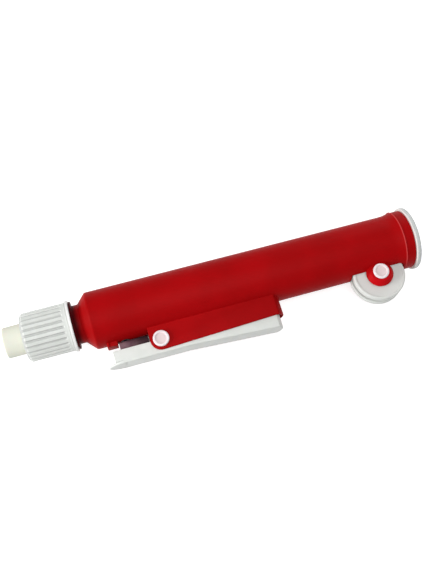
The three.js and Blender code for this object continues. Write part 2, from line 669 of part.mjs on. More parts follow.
// ---------------------------------------------------------------- assembly
const group = new THREE.Group();
group.name = "pipette_pump";
group.position.set(-centre.x, -centre.y, plate.radius);
group.add(
  mesh("barrel_housing", barrelHousing(), redPlastic),
  mesh("vent_seat", ventSeat(), blackRubber),
  mesh("rod_guide", rodGuide(), whitePlastic),
  mesh("plunger_rod", plungerRod(), whitePlastic),
  mesh("piston_head", pistonHead(), whitePlastic),
  mesh("piston_seal_front", pistonSeal(grooveCentres[0]), blackRubber),
  mesh("piston_seal_rear", pistonSeal(grooveCentres[1]), blackRubber),
  mesh("thumb_plate", thumbPlate(), whitePlastic),
  mesh("thumbwheel_near_disc", wheelDisc(1), whitePlastic),
  mesh("thumbwheel_far_disc", wheelDisc(-1), whitePlastic),
  mesh("drive_pinion", drivePinion(), whitePlastic),
  mesh("wheel_axle", headedPin(wheel, axle.radius, ear.outerFace), pinPlastic),
  mesh("wheel_axle_cap", pinCap(wheel, ear.outerFace), pinPlastic),
  mesh("release_lever", releaseLever(), whitePlastic),
  mesh("lever_pin", headedPin(pin, pin.radius, bracket.half), pinPlastic),
  mesh("lever_pin_cap", pinCap(pin, bracket.half), pinPlastic),
  mesh("lever_spring", leverSpring(), springSteel),
  mesh("valve_pad", valvePad(), greySilicone),
  mesh("chuck_nut", chuckNut(), whitePlastic),
  mesh("pipette_chuck", pipetteChuck(), ivoryRubber),
  mesh("chuck_gasket", chuckGasket(), blackRubber),
);

export default group;
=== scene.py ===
"""Visual model of a fast-release pipette pump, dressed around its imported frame.

Pieces are modelled in the barrel frame, in millimetres: x = 0 is the corner where the front cone
meets the tube, x runs towards the thumb plate, and y and z are measured from the barrel's axis.
``Datum`` carries a finished mesh from there into the row frame, in metres.
"""

from __future__ import annotations

import logging
import math
from dataclasses import dataclass, replace
from enum import Enum
from typing import Any, Callable, Iterable, Sequence

import bmesh
import bpy
from mathutils import Matrix, Vector


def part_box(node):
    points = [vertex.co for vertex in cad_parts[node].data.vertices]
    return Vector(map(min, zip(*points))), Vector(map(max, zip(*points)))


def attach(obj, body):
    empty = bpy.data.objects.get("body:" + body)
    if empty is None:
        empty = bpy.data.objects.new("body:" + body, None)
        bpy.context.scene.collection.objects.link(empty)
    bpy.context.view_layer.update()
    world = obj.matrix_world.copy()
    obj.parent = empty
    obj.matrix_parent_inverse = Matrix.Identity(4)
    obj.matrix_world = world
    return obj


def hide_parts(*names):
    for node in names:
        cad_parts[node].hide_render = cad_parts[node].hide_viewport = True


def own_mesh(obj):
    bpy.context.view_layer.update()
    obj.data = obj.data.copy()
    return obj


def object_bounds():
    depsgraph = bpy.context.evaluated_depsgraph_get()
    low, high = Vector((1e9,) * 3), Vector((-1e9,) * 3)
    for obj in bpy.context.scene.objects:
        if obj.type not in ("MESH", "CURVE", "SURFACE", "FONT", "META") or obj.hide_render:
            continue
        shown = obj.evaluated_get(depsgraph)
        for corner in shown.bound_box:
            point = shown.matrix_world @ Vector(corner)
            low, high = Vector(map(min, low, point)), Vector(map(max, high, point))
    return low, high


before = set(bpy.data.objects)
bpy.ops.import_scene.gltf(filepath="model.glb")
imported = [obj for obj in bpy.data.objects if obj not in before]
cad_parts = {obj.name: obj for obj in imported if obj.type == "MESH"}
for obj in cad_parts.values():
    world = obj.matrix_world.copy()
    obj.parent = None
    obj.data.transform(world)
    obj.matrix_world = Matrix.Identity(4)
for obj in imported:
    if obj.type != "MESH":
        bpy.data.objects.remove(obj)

CAD_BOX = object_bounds()
LOG = logging.getLogger("pipette_pump")

Point2 = tuple[float, float]
Colour = tuple[float, float, float]

NECK_LENGTH = 26.5  # from the neck's front end to the corner of the front cone


class Body(Enum):
    """Bodies of the frame that pieces ride on."""

    HOUSING = "housing"
    PLUNGER = "plunger"
    WHEEL = "thumbwheel"
    LEVER = "lever"
    CHUCK = "chuck"
    NUT = "nut"


class Slot(Enum):
    """Material slots of the record."""

    RED = "red_plastic"
    WHITE = "white_plastic"
    PIN = "pin_plastic"
    IVORY = "ivory_rubber"
    BLACK = "black_rubber"
    SILICONE = "grey_silicone"
    STEEL = "spring_steel"


class Axis(Enum):
    """Axes of the barrel frame."""

    X = 0
    Y = 1
    Z = 2

    def spot(self, along: float, first: float, second: float) -> Vector:
        """A point from its place along this axis and the other two coordinates, in order."""
        rest = [first, second]
        rest.insert(self.value, along)
        return Vector(rest)


# ------------------------------------------------------------------------------------ shader maths
class Wire:
    """A shader socket that takes part in Python arithmetic."""

    def __init__(self, graph: "Graph", socket: bpy.types.NodeSocket) -> None:
        """Wrap a socket of the given graph."""
        self.graph = graph
        self.socket = socket

    def _math(self, operation: str, *values: Any) -> "Wire":
        """Add a Math node on the given values."""
        return self.graph.add("ShaderNodeMath", {"operation": operation}, dict(enumerate(values)))

    def __add__(self, other: Any) -> "Wire":
        """Sum."""
        return self._math("ADD", self, other)

    def __radd__(self, other: Any) -> "Wire":
        """Reflected sum."""
        return self._math("ADD", other, self)

    def __sub__(self, other: Any) -> "Wire":
        """Difference."""
        return self._math("SUBTRACT", self, other)

    def __rsub__(self, other: Any) -> "Wire":
        """Reflected difference."""
        return self._math("SUBTRACT", other, self)

    def __mul__(self, other: Any) -> "Wire":
        """Product."""
        return self._math("MULTIPLY", self, other)

    def __rmul__(self, other: Any) -> "Wire":
        """Reflected product."""
        return self._math("MULTIPLY", other, self)

    def __pow__(self, other: Any) -> "Wire":
        """Power."""
        return self._math("POWER", self, other)

    def band(self, low: float, high: float) -> "Wire":
        """Smooth step from 0 at low to 1 at high.

        Args:
            low: value at which the result leaves 0.
            high: value at which it reaches 1; it may be below ``low``.

        Returns:
            The stepped value.
        """
        settings = {"interpolation_type": "SMOOTHSTEP"}
        return self.graph.add("ShaderNodeMapRange", settings, {"Value": self, "From Min": low, "From Max": high})


class Graph:
    """The node tree of one material."""

    def __init__(self, material: bpy.types.Material) -> None:
        """Start from an empty tree with an output and a Principled shader."""
        material.use_nodes = True
        self.tree = material.node_tree
        self.tree.nodes.clear()
        self.output = self.tree.nodes.new("ShaderNodeOutputMaterial")
        self.surface = self.tree.nodes.new("ShaderNodeBsdfPrincipled")
        self.tree.links.new(self.surface.outputs[0], self.output.inputs["Surface"])

    def add(self, kind: str, settings: dict[str, Any], inputs: dict[Any, Any], output: Any = 0) -> Wire:
        """Add a node.

        Args:
            kind: the node's type.
            settings: its own properties, set before its sockets.
            inputs: values or wires by socket name or index.
            output: name or index of the socket that is returned.

        Returns:
            The chosen output as a wire.
        """
        node = self.tree.nodes.new(kind)
        for key, value in settings.items():
            setattr(node, key, value)
        for key, value in inputs.items():
            self.put(node.inputs[key], value)
        return Wire(self, node.outputs[output])

    def put(self, socket: bpy.types.NodeSocket, value: Any) -> None:
        """Link a wire to a socket, or set its plain value."""
        if isinstance(value, Wire):
            self.tree.links.new(value.socket, socket)
        else:
            socket.default_value = value

    def set(self, **values: Any) -> None:
        """Set sockets of the Principled shader, with underscores for spaces in their names."""
        for key, value in values.items():
            self.put(self.surface.inputs[key.replace("_", " ")], value)

    def place(self, centre: Vector, scale: Sequence[float] = (1, 1, 1)) -> Wire:
        """Object coordinates counted from a centre and stretched by a scale."""
        coords = self.add("ShaderNodeTexCoord", {}, {}, "Object")
        shift = tuple(-part * factor for part, factor in zip(centre, scale))
        return self.add("ShaderNodeMapping", {}, {"Vector": coords, "Location": shift, "Scale": tuple(scale)})

    def reach(self, centre: Vector, axis: Axis) -> Wire:
        """Distance in millimetres from a line through a centre."""
        split = self.add("ShaderNodeSeparateXYZ", {}, {"Vector": self.place(centre, (1000.0,) * 3)})
        sides = [Wire(self, split.socket.node.outputs[i]) for i in range(3) if i != axis.value]
        return (sides[0] * sides[0] + sides[1] * sides[1]) ** 0.5

    def along(self, centre: Vector, axis: Axis) -> Wire:
        """Distance in millimetres past a point, along an axis."""
        split = self.add("ShaderNodeSeparateXYZ", {}, {"Vector": self.place(centre, (1000.0,) * 3)})
        return Wire(self, split.socket.node.outputs[axis.value])

    def noise(self, where: Wire, scale: float, detail: float = 4.0, roughness: float = 0.55) -> Wire:
        """Fractal noise between 0 and 1."""
        inputs = {"Vector": where, "Scale": scale, "Detail": detail, "Roughness": roughness}
        return self.add("ShaderNodeTexNoise", {}, inputs)

    def cells(self, where: Wire, scale: float) -> Wire:
        """Distance to the nearest of scattered points, in cell widths."""
        return self.add("ShaderNodeTexVoronoi", {"feature": "F1"}, {"Vector": where, "Scale": scale})

    def blend(self, share: Wire, first: Any, second: Any) -> Wire:
        """Mix two colours."""
        node = self.tree.nodes.new("ShaderNodeMix")
        node.data_type = "RGBA"
        self.put(node.inputs["Factor"], share)
        for socket, value in ((node.inputs[6], first), (node.inputs[7], second)):
            self.put(socket, value if isinstance(value, Wire) else (*value, 1.0))
        return Wire(self, node.outputs[2])

    def bump(self, height: Wire, depth: float, strength: float = 1.0) -> Wire:
        """Normal from a height between 0 and 1, whose full depth is given in metres."""
        return self.add("ShaderNodeBump", {}, {"Height": height, "Distance": depth, "Strength": strength})


# ------------------------------------------------------------------------------------ finishes
@dataclass(frozen=True)
class Ring:
    """A tone that sets in between two distances from a line. Distances are in millimetres."""

    axis: Axis
    centre: Vector
    full: float
    gone: float
    colour: Colour
    strength: float = 1.0

    def share(self, graph: Graph) -> Wire:
        """How much of the tone shows."""
        return graph.reach(self.centre, self.axis).band(self.gone, self.full) * self.strength


@dataclass(frozen=True)
class Stretch:
    """A tone on a stretch of an axis, with soft ends. Stations are in millimetres past the centre."""

    axis: Axis
    centre: Vector
    low: float
    high: float
    soft: float
    colour: Colour
    strength: float = 1.0

    def share(self, graph: Graph) -> Wire:
        """How much of the tone shows."""
        station = graph.along(self.centre, self.axis)
        rise = station.band(self.low - self.soft, self.low)
        return rise * station.band(self.high + self.soft, self.high) * self.strength


@dataclass(frozen=True)
class Moulded:
    """A moulded plastic or rubber surface. Lengths are in metres."""

    slot: Slot
    colour: Colour
    shade: Colour
    speck: Colour
    roughness: float
    roughness_swing: float = 0.1
    mottle: float = 0.018
    grain: float = 0.0005
    grain_depth: float = 0.00002
    ripple: float = 0.006
    ripple_depth: float = 0.00004
    speck_spacing: float = 0.004
    speck_size: float = 0.06
    streak: float = 0.25
    subsurface: float = 0.0
    specular: float = 0.5
    tones: tuple[Ring | Stretch, ...] = ()

    def material(self, centre: Vector) -> bpy.types.Material:
        """Build the finish.

        Args:
            centre: middle of the object, from which the patterns are counted.

        Returns:
            The new material.
        """
        made = bpy.data.materials.new(self.slot.value)
        graph = Graph(made)
        here = graph.place(centre)
        along = graph.place(centre, (0.06, 1.0, 1.0))
        mottle = graph.noise(here, 1 / self.mottle, 3.0)
        grain = graph.noise(here, 1 / self.grain, 5.0, 0.65)
        ripple = graph.noise(here, 1 / self.ripple, 2.0)
        streak = graph.noise(along, 1 / 0.0007, 3.0, 0.6).band(0.62, 0.8) * self.streak
        gate = graph.noise(here, 1 / (3 * self.speck_spacing), 1.0).band(0.45, 0.6)
        speck = graph.cells(here, 1 / self.speck_spacing).band(self.speck_size, 0.4 * self.speck_size) * gate
        tone = graph.blend(mottle.band(0.3, 0.7), self.colour, self.shade)
        lighter = tuple(min(1.0, channel * 1.12 + 0.01) for channel in self.colour)
        tone = graph.blend(streak, tone, lighter)
        # Tones laid over the colour: painted shade and painted highlights.
        for added in self.tones:
            tone = graph.blend(added.share(graph), tone, added.colour)
        tone = graph.blend(speck * 0.75, tone, self.speck)
        rough = grain * self.roughness_swing + ripple * self.roughness_swing + (self.roughness - self.roughness_swing)
        relief = grain * self.grain_depth + ripple * self.ripple_depth - speck * 0.00003 - streak * 0.000008
        graph.set(
            Base_Color=tone,
            Roughness=rough + streak * 0.12,
            Normal=graph.bump(relief * 10000.0, 0.0001),
            Specular_IOR_Level=self.specular,
            Subsurface_Weight=self.subsurface,
            Subsurface_Scale=0.002,
        )
        return made


@dataclass(frozen=True)
class DrawnWire:
    """Bright drawn steel wire."""

    slot: Slot
    colour: Colour

    def material(self, centre: Vector) -> bpy.types.Material:
        """Build the finish, with fine drawing marks and a little tarnish."""
        made = bpy.data.materials.new(self.slot.value)
        graph = Graph(made)
        here = graph.place(centre)
        marks = graph.noise(here, 9000.0, 3.0)
        tarnish = graph.noise(here, 400.0, 3.0).band(0.5, 0.75)
        dull = tuple(channel * 0.6 for channel in self.colour)
        graph.set(
            Base_Color=graph.blend(tarnish, self.colour, dull),
            Roughness=marks * 0.2 + tarnish * 0.15 + 0.18,
            Metallic=1.0,
            Normal=graph.bump(marks, 0.00001),
        )
        return made


FINISHES: dict[Slot, Moulded | DrawnWire] = {
    Slot.RED: Moulded(
        Slot.RED, (0.40, 0.002, 0.0035), (0.345, 0.002, 0.003), (0.14, 0.002, 0.004), 0.46,
        specular=0.04, grain_depth=0.000012, ripple_depth=0.00003, streak=0.18,
    ),
    Slot.WHITE: Moulded(
        Slot.WHITE, (0.745, 0.765, 0.735), (0.70, 0.725, 0.69), (0.42, 0.40, 0.36), 0.4, specular=0.35,
        mottle=0.006, speck_spacing=0.006, speck_size=0.045, grain_depth=0.00001,
    ),
    Slot.PIN: Moulded(
        Slot.PIN, (0.93, 0.87, 0.88), (0.88, 0.78, 0.81), (0.52, 0.42, 0.44), 0.42, mottle=0.002,
        speck_size=0.04, grain_depth=0.00001, specular=0.3,
    ),
    Slot.IVORY: Moulded(
        Slot.IVORY, (0.775, 0.785, 0.68), (0.735, 0.74, 0.635), (0.52, 0.48, 0.37), 0.62, grain=0.0003,
        grain_depth=0.000025, speck_size=0.04, streak=0.1, subsurface=0.1, specular=0.25,
    ),
    Slot.BLACK: Moulded(
        Slot.BLACK, (0.02, 0.02, 0.021), (0.03, 0.03, 0.031), (0.2, 0.19, 0.18), 0.6, speck_size=0.05, streak=0.1,
        specular=0.3,
    ),
    # The pad's colours are grey silicone darkened and tinted pink: painted shade under the tube and a painted
    # reflection of the red housing.
    Slot.SILICONE: Moulded(
        Slot.SILICONE, (0.22, 0.13, 0.15), (0.12, 0.06, 0.08), (0.4, 0.32, 0.34), 0.58, mottle=0.005,
        grain_depth=0.000015, streak=0.1, speck_size=0.09, specular=0.1,
    ),
    Slot.STEEL: DrawnWire(Slot.STEEL, (0.62, 0.62, 0.60)),
}


# ------------------------------------------------------------------------------------ outlines
def arc(centre: Point2, radius: float, start: float, end: float, steps: int = 12) -> list[Point2]:
    """Points on an arc, ends included, with its angles in degrees."""
    angles = [math.radians(start + (end - start) * i / steps) for i in range(steps + 1)]
    return [(centre[0] + radius * math.cos(a), centre[1] + radius * math.sin(a)) for a in angles]


def bow(start: Point2, end: Point2, bulge: float, steps: int = 10) -> list[Point2]:
    """Points from start to end that swell sideways by ``bulge``, to the right of the way they run."""
    run = Vector(end) - Vector(start)
    side = Vector((run.y, -run.x)).normalized()
    made = []
    for i in range(steps + 1):
        share = i / steps
        point = Vector(start) + run * share + side * (4 * bulge * share * (1 - share))
        made.append((point.x, point.y))
    return made


def rounded(corners: Sequence[tuple[float, float, float]], closed: bool, steps: int = 5) -> list[Point2]:
    """Round the corners of an outline.

    Args:
        corners: points as (first, second, corner radius).
        closed: whether the last point runs on to the first.
        steps: pieces in each rounded corner.

    Returns:
        The outline's points with an arc in place of each corner that has a radius.
    """
    made: list[Point2] = []
    count = len(corners)
    for i, (a, b, radius) in enumerate(corners):
        here = Vector((a, b))
        if radius <= 0 or (not closed and i in (0, count - 1)):
            made.append((a, b))
            continue
        before = (Vector(corners[i - 1][:2]) - here).normalized()
        after = (Vector(corners[(i + 1) % count][:2]) - here).normalized()
        half = before.angle(after) / 2
        reach = radius / math.tan(half)
        middle = here + (before + after).normalized() * (radius / math.sin(half))
        first, last = here + before * reach - middle, here + after * reach - middle
        turn = first.angle_signed(last)
        for step in range(steps + 1):
            spoke = first.copy()
            spoke.rotate(Matrix.Rotation(-turn * step / steps, 2))
            made.append((middle.x + spoke.x, middle.y + spoke.y))
    return made


# ------------------------------------------------------------------------------------ mesh building
def cleaned(body: bmesh.types.BMesh) -> bmesh.types.BMesh:
    """Merge doubles, drop slivers and turn the faces outwards."""
    bmesh.ops.remove_doubles(body, verts=body.verts, dist=1e-4)
    bmesh.ops.dissolve_degenerate(body, edges=body.edges, dist=1e-5)
    bmesh.ops.recalc_face_normals(body, faces=body.faces)
    return body


def lathe(
    profile: Sequence[Point2], closed: bool = False, axis: Axis = Axis.X, at: Point2 = (0.0, 0.0), steps: int = 64
) -> bmesh.types.BMesh:
    """Spin a profile about an axis.

    Args:
        profile: points as (place along the axis, radius); an open one starts and ends on the axis.
        closed: whether the last point joins the first.
        axis: direction of the axis.
        at: where the axis stands, in the other two coordinates.
        steps: pieces in the full turn.

    Returns:
        A closed body facing outwards.
    """
    made = bmesh.new()
    verts = [made.verts.new(axis.spot(along, at[0], at[1] + radius)) for along, radius in profile]
    edges = [made.edges.new(pair) for pair in zip(verts, verts[1:])]
    if closed:
        edges.append(made.edges.new((verts[-1], verts[0])))
    bmesh.ops.spin(
        made, geom=verts + edges, cent=axis.spot(0, *at), axis=axis.spot(1, 0, 0), angle=math.tau, steps=steps,
        use_merge=True,
    )
    return cleaned(made)


def rod(
    low: float, high: float, radius: float, axis: Axis, at: Point2 = (0.0, 0.0), edge: float = 0.0, steps: int = 48
) -> bmesh.types.BMesh:
    """A round bar between two places along an axis, with its end edges rounded by ``edge``."""
    profile = rounded([(low, 0, 0), (low, radius, edge), (high, radius, edge), (high, 0, 0)], False, 4)
    return lathe(profile, False, axis, at, steps)


def prism(outline: Sequence[Point2], axis: Axis, low: float, high: float) -> bmesh.types.BMesh:
    """Pull an outline along an axis.

    Args:
        outline: its points in the other two coordinates.
        axis: the way it is pulled.
        low: the near end.
        high: the far end.

    Returns:
        A closed body facing outwards.
    """
    made = bmesh.new()
    face = made.faces.new([made.verts.new(axis.spot(low, *point)) for point in outline])
    grown = bmesh.ops.extrude_face_region(made, geom=[face])
    moved = [part for part in grown["geom"] if isinstance(part, bmesh.types.BMVert)]
    bmesh.ops.translate(made, verts=moved, vec=axis.spot(high - low, 0, 0))
    return cleaned(made)


def coil(
    section: float, radius: float, start: float, end: float, turns: float, axis: Axis = Axis.X,
    at: Point2 = (0.0, 0.0), sides: int = 10, steps: int = 36,
) -> bmesh.types.BMesh:
    """Spin a round section up a helix.

    Args:
        section: radius of the wire.
        radius: radius of the helix.
        start: place along the axis where it starts.
        end: place where it ends.
        turns: number of turns, positive for a right-hand helix.
        axis: the helix's axis, x or y.
        at: where the axis stands, in the other two coordinates.
        sides: corners of the section.
        steps: pieces in each turn.

    Returns:
        The closed coil.
    """
    made = bmesh.new()
    outward = axis.spot(0, radius, 0)
    ring = bmesh.ops.create_circle(
        made, cap_ends=True, segments=sides, radius=section, matrix=Matrix.Translation(axis.spot(start, *at) + outward)
    )
    face = ring["verts"][0].link_faces[0]
    count = max(2, round(abs(turns) * steps))
    bmesh.ops.spin(
        made, geom=[*ring["verts"], *face.edges, face], cent=axis.spot(0, *at), axis=axis.spot(1, 0, 0),
        dvec=axis.spot((end - start) / count, 0, 0), angle=math.tau * turns, steps=count,
    )
    return cleaned(made)


def softened(
    body: bmesh.types.BMesh, width: float, segments: int = 3, angle: float = 30.0,
    keep: Callable[[bmesh.types.BMEdge], bool] = lambda edge: True,
) -> bmesh.types.BMesh:
    """Round the sharp edges of a body.

    Args:
        body: the mesh, which is changed.
        width: how far the rounding reaches from the edge.
        segments: pieces across it.
        angle: least angle between faces, in degrees, of a sharp edge.
        keep: says which sharp edges are rounded.

    Returns:
        The same mesh.
    """
    limit = math.radians(angle)
    sharp = [e for e in body.edges if len(e.link_faces) == 2 and e.calc_face_angle(0.0) > limit and keep(e)]
    bmesh.ops.bevel(
        body, geom=sharp, offset=width, offset_type="OFFSET", affect="EDGES", segments=segments,
        profile=0.5, material=-1, clamp_overlap=True, loop_slide=True,
    )
    return cleaned(body)


def loose_object(body: bmesh.types.BMesh, name: str) -> bpy.types.Object:
    """Put a mesh in a scene object and free the bmesh."""
    mesh = bpy.data.meshes.new(name)
    body.to_mesh(mesh)
    body.free()
    made = bpy.data.objects.new(name, mesh)
    bpy.context.scene.collection.objects.link(made)
    return made


class Join(Enum):
    """Ways in which two bodies are combined."""

    ADD = "UNION"
    CUT = "DIFFERENCE"
    COMMON = "INTERSECT"


def combined(first: bmesh.types.BMesh, how: Join, *others: bmesh.types.BMesh) -> bmesh.types.BMesh:
    """Combine bodies one after another.

    Args:
        first: the body that is worked on.
        how: the way each of the others is combined with it.
        others: the other bodies, which are used up.

    Returns:
        The result as a new mesh.
    """
    target = loose_object(first, "work")
    for body in others:
        tool = loose_object(body, "tool")
        step = target.modifiers.new("join", "BOOLEAN")
        step.operation = how.value
        step.solver = "EXACT"
        step.object = tool
        result = bpy.data.meshes.new_from_object(target.evaluated_get(bpy.context.evaluated_depsgraph_get()))
        target.modifiers.clear()
        target.data = result
        bpy.data.objects.remove(tool)
    made = bmesh.new()
    made.from_mesh(target.data)
    bpy.data.objects.remove(target)
    return cleaned(made)


# ------------------------------------------------------------------------------------ placing
@dataclass(frozen=True)
class Datum:
    """Where the barrel frame lies in the row frame, in metres."""

    corner: Vector

    @classmethod
    def from_frame(cls) -> "Datum":
        """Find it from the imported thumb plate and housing."""
        low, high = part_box("thumb_plate")
        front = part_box("barrel_housing")[0].x
        return cls(Vector((front + NECK_LENGTH / 1000, (low.y + high.y) / 2, (low.z + high.z) / 2)))

    def matrix(self) -> Matrix:
        """From barrel-frame millimetres to row-frame metres."""
        return Matrix.Translation(self.corner) @ Matrix.Scale(0.001, 4)

    def local(self, point: Sequence[float]) -> Vector:
        """A row-frame point in barrel-frame millimetres."""
        return (Vector(point) - self.corner) * 1000


class Workshop:
    """Holds the finishes and the datum, and turns bodies into dressed pieces."""

    def __init__(self, datum: Datum) -> None:
        """Make one material for each slot."""
        self.datum = datum
        self.middle = (CAD_BOX[0] + CAD_BOX[1]) / 2
        self.materials = {slot: finish.material(self.middle) for slot, finish in FINISHES.items()}

    def ring(self, axis: Axis, at: Point2, full: float, gone: float, colour: Colour, strength: float = 1.0) -> Ring:
        """A tone about a line of the barrel frame that is full at one distance and gone at another."""
        return Ring(axis, self.datum.matrix() @ axis.spot(0, *at), full, gone, colour, strength)

    def stretch(self, low: float, high: float, soft: float, colour: Colour, strength: float = 1.0) -> Stretch:
        """A tone between two stations along the barrel."""
        return Stretch(Axis.X, self.datum.corner, low, high, soft, colour, strength)

    def publish(
        self, name: str, body: bmesh.types.BMesh, rides: Body, slot: Slot, stands_for: Iterable[str] = (),
        tones: tuple[Ring | Stretch, ...] = (), crease: float = 32.0,
    ) -> bpy.types.Object:
        """Turn a body into a piece of the pump.

        Args:
            name: the piece's name.
            body: its mesh in the barrel frame, in millimetres.
            rides: the body of the frame that it moves with.
            slot: the record's slot that it takes its finish from.
            stands_for: the CAD nodes that it replaces.
            tones: what its finish has besides the slot's own: painted shade and painted highlights.
            crease: least angle in degrees of an edge that stays crisp.

        Returns:
            The new object.
        """
        bmesh.ops.transform(body, matrix=self.datum.matrix(), verts=body.verts)
        limit = math.radians(crease)
        for face in body.faces:
            face.smooth = True
        for edge in body.edges:
            edge.smooth = edge.calc_face_angle(0.0) < limit
        made = loose_object(body, name)
        finish = self.materials[slot]
        if tones:
            finish = replace(FINISHES[slot], tones=tones).material(self.middle)
        made.data.materials.append(finish)
        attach(made, rides.value)
        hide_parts(*stands_for)
        LOG.info("%s: %d faces", name, len(made.data.polygons))
        return made

    def dress(self, nodes: dict[str, Slot]) -> None:
        """Give CAD nodes that stay in view their finish."""
        for name, slot in nodes.items():
            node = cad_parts[name]
            node.data.materials.clear()
            node.data.materials.append(self.materials[slot])
            LOG.info("%s dressed", name)


# ------------------------------------------------------------------------------------ the pump's parts
BARREL_RADIUS = 15.0
BARREL_BORE = 12.5
BARREL_REAR = 173.9
NECK_ROOT = 9.6
THREAD_WIRE = 0.8
THREAD_LEAD = 4.0
PLATE_FRONT = 174.2
RUN = 0.35  # running clearance
GAP = 0.3  # gap between parts that only meet


@dataclass(frozen=True)
class Pivot:
    """A line along z that a part turns about, with its pin."""

    x: float
    y: float
    pin: float

    @property
    def at(self) -> Point2:
        """Its place in x and y."""
        return (self.x, self.y)


WHEEL_PIVOT = Pivot(152.5, -16.8, 2.0)
LEVER_PIVOT = Pivot(32.15, -20.8, 1.5)


@dataclass
class SpringSeat:
    """Where the lever's spring stands."""

    x: float = 76.0
    radius: float = 3.4
    foot: float = -15.8
    peg_radius: float = 1.6
    peg_height: float = 1.6


SEAT = SpringSeat()


@dataclass
class BarrelHousing:
    """The tube with its neck, rear band, wheel ears, lever bracket and stop boss. Sizes in mm."""

    shop: Workshop
    front_wall: float = 1.0
    draft: float = 0.2
    flare_radius: float = 15.8
    flare_start: float = 164.6
    flare_end: float = 168.3
    neck_radius: float = 10.17
    cone_length: float = 4.83
    collar_radius: float = 12.6
    collar_front: float = -9.08
    collar_rear: float = -8.15
    neck_bore: float = 3.2
    socket_radius: float = 6.0
    socket_end: float = -19.5
    thread_from: float = -24.4
    thread_to: float = -13.2
    window_half: float = 5.3
    window_front: float = 138.1
    window_rear: float = 167.6
    window_corner: float = 2.8
    ear_inner: float = 5.2
    ear_outer: float = 8.3
    ear_base: float = 7.2
    ear_top: float = 5.4
    bracket_half: float = 7.0
    bracket_wall: float = 0.9
    bracket_nose: float = 5.6
    bracket_rear: float = 94.0
    bracket_bow: float = 3.4
    bracket_bottom: float = -23.8
    bracket_root: float = -11.0
    bracket_edge: float = 0.45
    end_wall: float = 0.8
    stop_from: float = 4.85
    stop_to: float = 10.5
    stop_half: float = 3.3
    stop_bottom: float = -17.1
    stop_rib: float = 0.8
    vent_x: float = 14.6
    vent_radius: float = 2.5

    def blank(self) -> bmesh.types.BMesh:
        """The tube, cone, collar and neck, without their bore."""
        neck_front = -NECK_LENGTH
        corners = [
            (neck_front, 0.0, 0.0),
            (neck_front, NECK_ROOT, 0.5),
            (self.collar_front, NECK_ROOT, 0.1),
            (self.collar_front, self.collar_radius, 0.2),
            (self.collar_rear, self.collar_radius, 0.2),
            (self.collar_rear, self.neck_radius, 0.3),
            (-self.cone_length, self.neck_radius, 1.0),
            (0.0, BARREL_RADIUS + self.draft, 1.6),
            (self.flare_start, BARREL_RADIUS, 20.0),
            (self.flare_end, self.flare_radius - 0.1, 2.0),
            (self.flare_end + 0.2, self.flare_radius + 0.12, 0.15),
            (self.flare_end + 0.6, self.flare_radius + 0.12, 0.15),
            (self.flare_end + 0.75, self.flare_radius, 0.1),
            (BARREL_REAR, self.flare_radius, 0.45),
            (BARREL_REAR, 0.0, 0.0),
        ]
        return lathe(rounded(corners, False, 6), steps=128)

    def bore(self) -> bmesh.types.BMesh:
        """The cylinder bore, the air passage and the socket for the nozzle's spigot."""
        return lathe(
            [
                (-NECK_LENGTH - 1, 0.0),
                (-NECK_LENGTH - 1, self.socket_radius),
                (self.socket_end, self.socket_radius),
                (self.socket_end, self.neck_bore),
                (self.front_wall, self.neck_bore),
                (self.front_wall, BARREL_BORE),
                (BARREL_REAR - GAP, BARREL_BORE),
                (BARREL_REAR + GAP, BARREL_BORE + 2 * GAP),
                (BARREL_REAR + GAP, 0.0),
            ],
            steps=128,
        )

    def thread(self) -> bmesh.types.BMesh:
        """The neck's thread ridge."""
        turns = (self.thread_to - self.thread_from) / THREAD_LEAD
        return coil(THREAD_WIRE, NECK_ROOT, self.thread_from, self.thread_to, turns)

    def ear(self, side: int) -> bmesh.types.BMesh:
        """One coned ear beside the wheel; side is 1 or -1."""
        corners = [
            (self.ear_inner, 0.0, 0.0),
            (self.ear_inner, self.ear_base, 0.0),
            (self.ear_inner + 1.0, self.ear_base, 0.6),
            (self.ear_outer, self.ear_top, 0.35),
            (self.ear_outer, 0.0, 0.0),
        ]
        profile = [(along * side, radius) for along, radius in rounded(corners, False)]
        return lathe(profile, axis=Axis.Z, at=WHEEL_PIVOT.at, steps=72)

    def plan(self, inset: float, front: float, rear: float) -> list[Point2]:
        """Plan of the bracket in x and z, drawn in from its sides, with a bowed rear end."""
        half = self.bracket_half - inset
        return [(front, -half), *bow((rear, -half), (rear, half), self.bracket_bow), (front, half)]

    def bracket(self) -> bmesh.types.BMesh:
        """The channel under the tube that carries the lever."""
        front = LEVER_PIVOT.x - self.bracket_nose
        far = self.bracket_rear + 3 * self.bracket_bow
        side = [
            (front, 0.0),
            *arc(LEVER_PIVOT.at, self.bracket_nose, 180, 270, 20),
            (far, self.bracket_bottom),
            (far, 0.0),
        ]
        skirt = prism(side, Axis.Z, -2 * self.bracket_half, 2 * self.bracket_half)
        outside = prism(self.plan(0.0, front - 5, self.bracket_rear), Axis.Y, -40, self.bracket_root)
        skirt = combined(skirt, Join.COMMON, outside)
        softened(skirt, self.bracket_edge, 3, 38.0, lambda edge: not on_level(edge, Axis.Y, self.bracket_root))
        inside = prism(self.plan(self.bracket_wall, front - 5, self.bracket_rear - self.end_wall), Axis.Y, -40, 1)
        return combined(skirt, Join.CUT, inside)

    def stop(self) -> bmesh.types.BMesh:
        """The stop boss in front of the vent, with the round rib on its near front corner."""
        low, high, half = self.stop_from, self.stop_to, self.stop_half
        plan = rounded([(low, -half, 0.8), (low, half, 0.8), (high, half, 0.5), (high, -half, 0.5)], True)
        block = prism(plan, Axis.Y, self.stop_bottom, -BARREL_BORE - 0.5)
        softened(block, 0.35, 3, 40.0, lambda edge: on_level(edge, Axis.Y, self.stop_bottom))
        corner = (low + self.stop_rib, half - self.stop_rib / 2)
        rib = rod(self.stop_bottom, -BARREL_BORE - 0.5, self.stop_rib, Axis.Y, corner, 0.3, 24)
        return combined(block, Join.ADD, rib)

